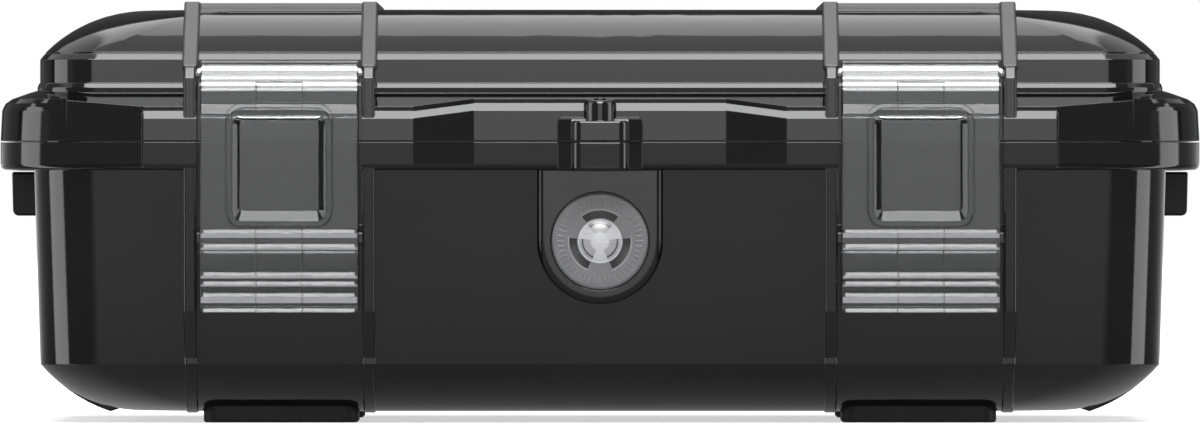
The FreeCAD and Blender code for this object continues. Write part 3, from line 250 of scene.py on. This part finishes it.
cap_low, cap_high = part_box("valve_cap")
cap_middle = (cap_low + cap_high) / 2
cap_radius = (cap_high.x - cap_low.x) / 2
cap_dome_rise = 0.0012
cap_coat_roughness = 0.3
window_turn = math.radians(120)
window_half = math.radians(36)
window_soft = 0.05
dome_share = 0.445
dome_soft = 0.02
ring_dark = (0.062, 0.062, 0.064, 1)
ring_pale = (0.1, 0.1, 0.103, 1)
# Painted highlight on the cap's edges
painted_edge_highlight = (0.2, 0.2, 0.206, 1)
# The dome's tone: partly its own pale plastic, partly a painted highlight
pale_dome_and_highlight = (0.3, 0.3, 0.309, 1)
# Dimmer parts of the dome's painted highlight, in the window sectors, which leave it three lobes
dimmed_highlight_grey = (0.19, 0.19, 0.196, 1)
line_dark = (0.02, 0.02, 0.021, 1)
# Painted highlight along the windows' outer edges
painted_arc_highlight = (0.13, 0.13, 0.134, 1)
dimmed_highlight_soft = 0.05
line_soft = 0.012
# Bands across the window sectors: inner and outer share of the cap's radius, soft edge and colour. The first
# dims the dome's painted highlight, the last is a painted highlight.
SECTOR_BANDS = (
    (0.22, 0.415, dimmed_highlight_soft, dimmed_highlight_grey),
    (0.353, 0.373, line_soft, line_dark),
    (0.645, 0.665, line_soft, painted_arc_highlight),
)
tick_count = 48
TICK_SHARES = (0.74, 0.89)
tick_width = 0.0003
tick_proud = 0.00012


def between():
    """One where a value lies between two limits, fading to zero over a soft edge beyond them."""
    group, given, result = shader_group("between", {"Value": 0, "Low": 0, "High": 1, "Soft": 0.1},
                                        {"Mask": "Float"})
    shares = []
    for first, second in (("Value", "Low"), ("High", "Value")):
        gap = compute(group, "SUBTRACT", given[first], given[second])
        share = compute(group, "DIVIDE", gap, given["Soft"])
        ramp = place(group, "ShaderNodeMapRange", {"Value": share, "From Min": -1, "From Max": 0},
                     interpolation_type="SMOOTHSTEP")
        shares.append(ramp.outputs["Result"])
    group.links.new(compute(group, "MULTIPLY", *shares), result["Mask"])
    return group


between_group = between()


def masked(tree, value, low, high, soft):
    """The mask of a value between two limits."""
    return grouped(tree, between_group, {"Value": value, "Low": low, "High": high, "Soft": soft})["Mask"]


def cap_plan():
    """Distance from the cap's axis as a share of its radius, and one inside the three window sectors."""
    group, _, result = shader_group("cap_plan", {}, {"Radius": "Float", "Sector": "Float"})
    where = place(group, "ShaderNodeTexCoord", {}).outputs["Object"]
    centred = place(group, "ShaderNodeVectorMath", {0: where, 1: cap_middle}, operation="SUBTRACT")
    flat = place(group, "ShaderNodeVectorMath",
                 {0: centred.outputs["Vector"], 1: (1 / cap_radius, 0, 1 / cap_radius)}, operation="MULTIPLY")
    length = place(group, "ShaderNodeVectorMath", {0: flat.outputs["Vector"]}, operation="LENGTH")
    parts = place(group, "ShaderNodeSeparateXYZ", {0: flat.outputs["Vector"]}).outputs
    turn = compute(group, "ARCTAN2", parts["X"], parts["Z"])
    shifted = compute(group, "ADD", turn, window_turn / 2)
    folded = compute(group, "FLOORED_MODULO", shifted, window_turn)
    offset = compute(group, "SUBTRACT", folded, window_turn / 2)
    group.links.new(length.outputs["Value"], result["Radius"])
    group.links.new(masked(group, offset, -window_half, window_half, window_soft), result["Sector"])
    return group


def cap_plastic():
    """Frosted grey plastic, clear over the dome, with a painted highlight on its edges; the dome is pale,
    partly its own tone and partly a painted highlight, and bands across both in each window sector dim that
    highlight into three lobes, draw a dark line and paint a highlight along the window's outer edge.
    """
    material, tree, shader = new_material("cap_plastic")
    tone, edge = mould(tree, shader, roughness=0.26, spread=0.1, peel_depth=0.000004, edge_radius=0.0003,
                       flow_scale=260)
    plan = grouped(tree, cap_plan(), {})
    ring = blend_colours(tree, tone, ring_dark, ring_pale)
    # Painted highlight on the cap's edges
    edge_highlighted = blend_colours(tree, edge, ring, painted_edge_highlight)
    inside = masked(tree, plan["Radius"], 0, dome_share, dome_soft)
    # The dome painted pale, partly as a painted highlight
    paint = blend_colours(tree, inside, edge_highlighted, pale_dome_and_highlight)
    for inner, outer, soft, colour in SECTOR_BANDS:
        band = masked(tree, plan["Radius"], inner, outer, soft)
        paint = blend_colours(tree, compute(tree, "MULTIPLY", band, plan["Sector"]), paint, colour)
    tree.links.new(paint, shader.inputs["Base Color"])
    tree.links.new(inside, shader.inputs["Coat Weight"])
    shader.inputs["Coat Roughness"].default_value = cap_coat_roughness
    return material


cap_frosted = cap_plastic()
dress(cap_frosted, "valve_cap")

BLOCK_FACES = ((0, 1, 3, 2), (4, 6, 7, 5), (0, 4, 5, 1), (2, 3, 7, 6), (0, 2, 6, 4), (1, 5, 7, 3))


def add_piece(name, mesh, material, body):
    """A detail of one material that rides on a body."""
    mesh.materials.clear()
    mesh.materials.append(material)
    made = bpy.data.objects.new(name, mesh)
    scene.collection.objects.link(made)
    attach(made, body)


def add_blocks(name, blocks, material, body):
    """Six-sided blocks, each given by its eight corners, as one detail."""
    points = []
    faces = []
    for block in blocks:
        faces += [tuple(len(points) + corner for corner in face) for face in BLOCK_FACES]
        points += block
    mesh = bpy.data.meshes.new(name)
    mesh.from_pydata(points, [], faces)
    add_piece(name, mesh, material, body)


tick_front = cap_low.y + cap_dome_rise - tick_proud
tick_back = cap_low.y + cap_dome_rise + tick_proud
ticks = []
for number in range(tick_count):
    spin = 2 * math.pi * number / tick_count
    tick = []
    for share in TICK_SHARES:
        for side in (-tick_width / 2, tick_width / 2):
            spot_x = cap_middle.x + cap_radius * share * math.sin(spin) + side * math.cos(spin)
            spot_z = cap_middle.z + cap_radius * share * math.cos(spin) - side * math.sin(spin)
            tick += [(spot_x, tick_front, spot_z), (spot_x, tick_back, spot_z)]
    ticks.append(tick)
add_blocks("valve_ticks", ticks, cap_frosted, "base")

# Hinge pins
# Two stainless steel pins, with the fine lines of grinding round them. They run through the rear knuckles
# and carry the lid.

steel_dark = (0.5, 0.5, 0.49, 1)
steel_bright = (0.66, 0.66, 0.65, 1)
grinding_stretch = (9000, 60, 60)
grinding_depth = 0.000003


def ground_steel():
    """Steel with the fine lines that grinding leaves round a pin."""
    material, tree, shader = new_material("ground_steel")
    where = place(tree, "ShaderNodeTexCoord", {}).outputs["Object"]
    drawn = place(tree, "ShaderNodeMapping", {"Vector": where, "Scale": grinding_stretch})
    lines = place(tree, "ShaderNodeTexNoise", {"Vector": drawn.outputs["Vector"], "Scale": 1.0, "Detail": 3})
    share = lines.outputs["Fac"]
    rough = place(tree, "ShaderNodeMapRange", {"Value": share, "To Min": 0.16, "To Max": 0.36})
    bump = place(tree, "ShaderNodeBump", {"Height": share, "Distance": grinding_depth})
    tree.links.new(blend_colours(tree, share, steel_dark, steel_bright), shader.inputs["Base Color"])
    tree.links.new(rough.outputs["Result"], shader.inputs["Roughness"])
    tree.links.new(bump.outputs["Normal"], shader.inputs["Normal"])
    shader.inputs["Metallic"].default_value = 1.0
    return material


steel = ground_steel()
dress(steel, "left_hinge_pin", "right_hinge_pin")

# Lid shell
# The shallow domed upper half, moulded in the same black plastic with a slightly higher polish. It swings
# on the hinge pins.

lid_plastic = moulded_plastic("lid_plastic", shell_black, shell_worn, shell_sheen, roughness=0.06,
                              spread=0.03, peel_depth=0.0000015, edge_radius=shell_edge)
dress(lid_plastic, "lid_shell")

# Gasket
# A soft ring that keeps water out, moulded in the same rubber as the feet. It is pressed into a groove
# round the lid's rim.

dress(foot_rubber, "lid_gasket")

# Latch pins
# Two stainless steel pins, ground like those of the hinge. Each runs between two of the lid's guards and
# carries a latch.

dress(steel, "left_latch_pin", "right_latch_pin")

# Latches
# Two clear polycarbonate levers, each with a finger panel, a hook behind and grip ridges with frosted faces
# along the lower part. Each hangs on its pin. Fine seams on its front mark the blocks of its mould, and two
# lines run round the panel. Seams and lines are fine raised lines, dark with painted shade.

latch_clear = (0.62, 0.63, 0.64, 1)
latch_refraction = 1.42
# Painted shade: the seams' dark colour stands for the shade along their moulded steps
seam_shade_dark = (0.03, 0.03, 0.031, 1)
seam_worn = (0.045, 0.045, 0.046, 1)
seam_sheen = 0.3
frost_grey = (0.13, 0.13, 0.134, 1)
frost_worn = (0.17, 0.17, 0.175, 1)
frost_sheen = 0.4
trim_edge = 0.00005
seam_radius = 0.0001
seam_half = 0.0049
seam_top = 0.0726
seam_stop = 0.0665
facet_low = 0.0707
facet_slope = 0.562
chamfer_high = 0.0679
chamfer_low = 0.06595
chamfer_run = 0.0016
panel_bottom = 0.0431
panel_foot = 0.0448
# Lines round the finger panel: half width, height of the top and radius of the bends
PANEL_LINES = ((0.0114, 0.0682, 0.0036), (0.0102, 0.0672, 0.0027))
bend_steps = 6
grip_top = 0.0416
grip_proud = 0.00045
grip_facet = 0.00078
# Grip ridges: lower and upper end as shares of the height below the panel
GRIP_SHARES = ((0.815, 0.906), (0.685, 0.749), (0.374, 0.441), (0.287, 0.346), (0.105, 0.213), (0, 0.046))
frost_depth = 0.00003
frost_inset = 0.0002
frost_least = 0.0002


def clear_plastic():
    """Clear polycarbonate: a polished, slightly grey solid with faint flow lines."""
    material, tree, shader = new_material("clear_plastic")
    mould(tree, shader, roughness=0.03, spread=0.03, peel_depth=0.0000003, edge_radius=0.0002)
    shader.inputs["Base Color"].default_value = latch_clear
    shader.inputs["Transmission Weight"].default_value = 1.0
    shader.inputs["IOR"].default_value = latch_refraction
    return material


polycarbonate = clear_plastic()
dress(polycarbonate, "left_latch", "right_latch")
# Painted shade: dark seams and panel lines, for the shade along moulded steps
seam_shade_grey = moulded_plastic("seam_shade_grey", seam_shade_dark, seam_worn, seam_sheen, roughness=0.3, spread=0.1,
                            peel_depth=0.000001, edge_radius=trim_edge)
ridge_frost = moulded_plastic("ridge_frost", frost_grey, frost_worn, frost_sheen, roughness=0.3, spread=0.1,
                              peel_depth=0.000002, edge_radius=trim_edge, flow_scale=400)


def add_wire(name, runs, radius, material, body):
    """A fine raised line along each run of points."""
    curve = bpy.data.curves.new(name, "CURVE")
    curve.dimensions = "3D"
    curve.bevel_depth = radius
    curve.bevel_resolution = 1
    curve.use_fill_caps = True
    for run in runs:
        spline = curve.splines.new("POLY")
        spline.points.add(len(run) - 1)
        for point, spot in zip(spline.points, run):
            point.co = (*spot, 1)
    pattern = bpy.data.objects.new(name, curve)
    mesh = bpy.data.meshes.new_from_object(pattern)
    bpy.data.objects.remove(pattern)
    bpy.data.curves.remove(curve)
    add_piece(name, mesh, material, body)


def chamfer_depth(level):
    """How far the latch's front lies behind its plate at a height on the chamfer."""
    return chamfer_run * min(max((level - chamfer_low) / (chamfer_high - chamfer_low), 0), 1)


def panel_outline(half_width, top, bend):
    """One line round the panel as offsets and heights: up one side, over two bends and down the other."""
    outline = [(-half_width, panel_foot)]
    for turn in range(bend_steps + 1):
        angle = math.pi / 2 * turn / bend_steps
        outline.append((bend - half_width - bend * math.cos(angle), top - bend + bend * math.sin(angle)))
    return outline + [(-offset, level) for offset, level in reversed(outline)]


for name in ("left_latch", "right_latch"):
    latch_low, latch_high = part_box(name)
    centre = (latch_low.x + latch_high.x) / 2
    ridge_front = latch_low.y
    plate = ridge_front + grip_proud
    step = plate + chamfer_run
    facet = step + (seam_top - facet_low) * facet_slope
    stop = plate + chamfer_depth(seam_stop)
    upper = [(facet, seam_top), (step, facet_low), (step, chamfer_high), (stop, seam_stop)]
    lower = [(plate, grip_top)]
    ridges = []
    for low_share, high_share in GRIP_SHARES:
        ridge_low = latch_low.z + (panel_bottom - latch_low.z) * low_share
        ridge_high = latch_low.z + (panel_bottom - latch_low.z) * high_share
        face_high = ridge_high - grip_facet
        lower += [(plate, ridge_high), (ridge_front, face_high), (ridge_front, ridge_low), (plate, ridge_low)]
        if face_high - ridge_low > frost_least:
            ridges.append([(side, depth, level) for level in (ridge_low, face_high)
                           for side in (latch_low.x + frost_inset, latch_high.x - frost_inset)
                           for depth in (ridge_front - frost_depth, ridge_front + frost_depth)])
    add_blocks(f"{name}_ridges", ridges, ridge_frost, name)
    runs = [[(centre - seam_half, facet, seam_top), (centre + seam_half, facet, seam_top)]]
    for line in PANEL_LINES:
        outline = panel_outline(*line)
        runs.append([(centre + offset, plate + chamfer_depth(level), level) for offset, level in outline])
    for side in (-seam_half, seam_half):
        runs += [[(centre + side, *spot) for spot in path] for path in (upper, lower)]
    add_wire(f"{name}_seams", runs, seam_radius, seam_shade_grey, name)

# Studio
# A pale floor, a white surround and soft lights: a large one behind and above, two bright strips above the
# front, a dim window in front, a tall strip at each side and a weak fill all round. In the case's gloss the
# floor shows a painted reflection: painted shade darkens it close by and at the sides, and a painted glow
# stands in for the side strips' light on it.

scene.view_settings.view_transform = "Standard"
white = (1, 1, 1, 1)
floor_half = 15.0
FLOOR_PAINT = {
    "Base Color": (0.5, 0.5, 0.5, 1),
    "Roughness": 0.9,
    "Specular IOR Level": 0.0,
    "Emission Color": white,
    "Emission Strength": 0.6,
}
case_reach = 0.085
case_half_width = 0.115
case_half_depth = 0.077
# Painted glow: where the side strips' painted glow on the floor starts, away from the case
painted_glow_start = 2 * case_reach
floor_fade = 0.35
# Painted shade: the floor's tone in the case's gloss close by, rising with distance
painted_shade_near = 0.28
floor_gain = 0.68
# Painted shade: the share of that tone left at the floor's sides
painted_shade_share = 0.35
# Bearings in degrees from the front, each with its lower limit, upper limit and soft edge
# Ahead of and behind the case, the floor's painted reflection has no painted shade
AHEAD = (-1, 6, 8)
BEHIND = (172, 181, 60)
SIDE_STRIP = (65, 94, 4)
side_radiance = 3.7
rear_start = 5.26
rear_change_per_degree = -0.0224
ambient = 0.075


def painted_floor_reflection(tree):
    """The floor's painted reflection in the case's gloss: painted shade close by and at the sides, with a
    painted glow of the side strips.
    """
    where = place(tree, "ShaderNodeTexCoord", {}).outputs["Object"]
    apart = place(tree, "ShaderNodeVectorMath", {0: where}, operation="LENGTH").outputs["Value"]
    beyond = compute(tree, "MAXIMUM", compute(tree, "SUBTRACT", apart, case_reach), 0)
    faded = compute(tree, "DIVIDE", beyond, compute(tree, "ADD", beyond, floor_fade))
    pale = compute(tree, "MULTIPLY_ADD", faded, floor_gain, painted_shade_near)
    spot = place(tree, "ShaderNodeSeparateXYZ", {0: where}).outputs
    outward = compute(tree, "SUBTRACT", compute(tree, "ABSOLUTE", spot["X"]), case_half_width)
    forward = compute(tree, "SUBTRACT", compute(tree, "MULTIPLY", spot["Y"], -1), case_half_depth)
    bearing = compute(tree, "DEGREES", compute(tree, "ARCTAN2", outward, forward))
    bearing = compute(tree, "MULTIPLY", bearing, compute(tree, "GREATER_THAN", outward, 0))
    clear = compute(tree, "MAXIMUM", masked(tree, bearing, *AHEAD), masked(tree, bearing, *BEHIND))
    lit = compute(tree, "MULTIPLY_ADD", clear, 1 - painted_shade_share, painted_shade_share)
    painted_glow = compute(tree, "MULTIPLY", masked(tree, bearing, *SIDE_STRIP), side_radiance)
    painted_glow = compute(tree, "MULTIPLY", painted_glow, masked(tree, apart, painted_glow_start, floor_half, case_reach))
    return compute(tree, "MAXIMUM", compute(tree, "MULTIPLY", pale, lit), painted_glow)


floor_corners = [(-floor_half, -floor_half, 0), (floor_half, -floor_half, 0),
                 (floor_half, floor_half, 0), (-floor_half, floor_half, 0)]
floor_mesh = bpy.data.meshes.new("floor")
floor_mesh.from_pydata(floor_corners, [], [(0, 1, 2, 3)])
floor = bpy.data.objects.new("floor", floor_mesh)
scene.collection.objects.link(floor)
floor_paint, floor_tree, floor_shader = new_material("floor_paint")
for socket, value in FLOOR_PAINT.items():
    floor_shader.inputs[socket].default_value = value
# The case's gloss sees this painted reflection of the floor, with its painted shade and painted glow
painted_reflection = place(floor_tree, "ShaderNodeEmission", {"Color": painted_floor_reflection(floor_tree)})
in_gloss = place(floor_tree, "ShaderNodeLightPath", {}).outputs["Is Glossy Ray"]
floor_mix = place(floor_tree, "ShaderNodeMixShader",
                  {0: in_gloss, 1: floor_shader.outputs[0], 2: painted_reflection.outputs[0]})
floor_tree.links.new(floor_mix.outputs[0], floor_tree.nodes["Material Output"].inputs["Surface"])
floor_mesh.materials.append(floor_paint)

world = bpy.data.worlds.new("studio")
scene.world = world
world.use_nodes = True
sky = world.node_tree
direction = place(sky, "ShaderNodeTexCoord", {}).outputs["Generated"]
way = place(sky, "ShaderNodeSeparateXYZ", {0: direction}).outputs
front = compute(sky, "MULTIPLY", way["Y"], -1)
aside = compute(sky, "ABSOLUTE", way["X"])
# A direction's angles in degrees: over the case from front to rear, across it, above the floor, and around
# the case from the front to either side
over = compute(sky, "DEGREES", compute(sky, "ARCTAN2", way["Z"], front))
across = compute(sky, "DEGREES", compute(sky, "ARCSINE", way["X"]))
height = compute(sky, "DEGREES", compute(sky, "ARCSINE", way["Z"]))
around = compute(sky, "DEGREES", compute(sky, "ARCTAN2", aside, front))
rear_radiance = compute(sky, "MULTIPLY_ADD", over, rear_change_per_degree, rear_start)
# Each light: its radiance, then two angles, each with its lower limit, upper limit and soft edge
LIGHTS = {
    "rear panel": (rear_radiance, (over, 108, 146, 1.5), (across, -8, 8, 4)),
    "rear panel's sides": (0.9, (over, 100, 146, 4), (across, -42, 42, 5)),
    "overhead panel": (1.1, (over, 86, 108, 1.5), (across, -40, 40, 3)),
    "front window": (1.9, (over, -5, 30, 2), (across, -13.5, 13.5, 2)),
    "lower strip": (16.0, (over, 40, 66, 2), (across, -15, 15, 1)),
    "upper strip": (9.1, (over, 67, 84.5, 1.5), (across, -15, 15, 0.7)),
    "side strips": (side_radiance, (height, -5, 40, 3), (around, *SIDE_STRIP)),
    "side strips' spill": (0.45, (height, -5, 30, 3), (around, 56, 64, 20)),
    "front fill": (0.25, (over, -5, 112, 6), (across, -80, 80, 6)),
    "rear fill": (0.25, (height, -5, 50, 5), (around, 108, 150, 8)),
}
total = ambient
for radiance, first, second in LIGHTS.values():
    mask = compute(sky, "MULTIPLY", masked(sky, *first), masked(sky, *second))
    total = compute(sky, "MAXIMUM", compute(sky, "MULTIPLY", mask, radiance), total)
studio = place(sky, "ShaderNodeBackground", {"Color": total})
surround = place(sky, "ShaderNodeBackground", {"Color": white})
seen = place(sky, "ShaderNodeLightPath", {}).outputs["Is Camera Ray"]
both = place(sky, "ShaderNodeMixShader", {0: seen, 1: studio.outputs[0], 2: surround.outputs[0]})
sky.links.new(both.outputs[0], sky.nodes["World Output"].inputs["Surface"])

# Camera
# A long lens far in front of the case, level with the middle of its height. The frame is a little wider
# than the case.

frame_width = 0.25668
view_plane = -0.06
view_distance = 4.1
camera_height = 0.0449
camera_data = bpy.data.cameras.new("camera")
camera_data.sensor_fit = "HORIZONTAL"
camera_data.lens = camera_data.sensor_width * view_distance / frame_width
camera = bpy.data.objects.new("camera", camera_data)
camera.location = (0, view_plane - view_distance, camera_height)
camera.rotation_euler = (math.pi / 2, 0, 0)
scene.collection.objects.link(camera)
scene.camera = camera
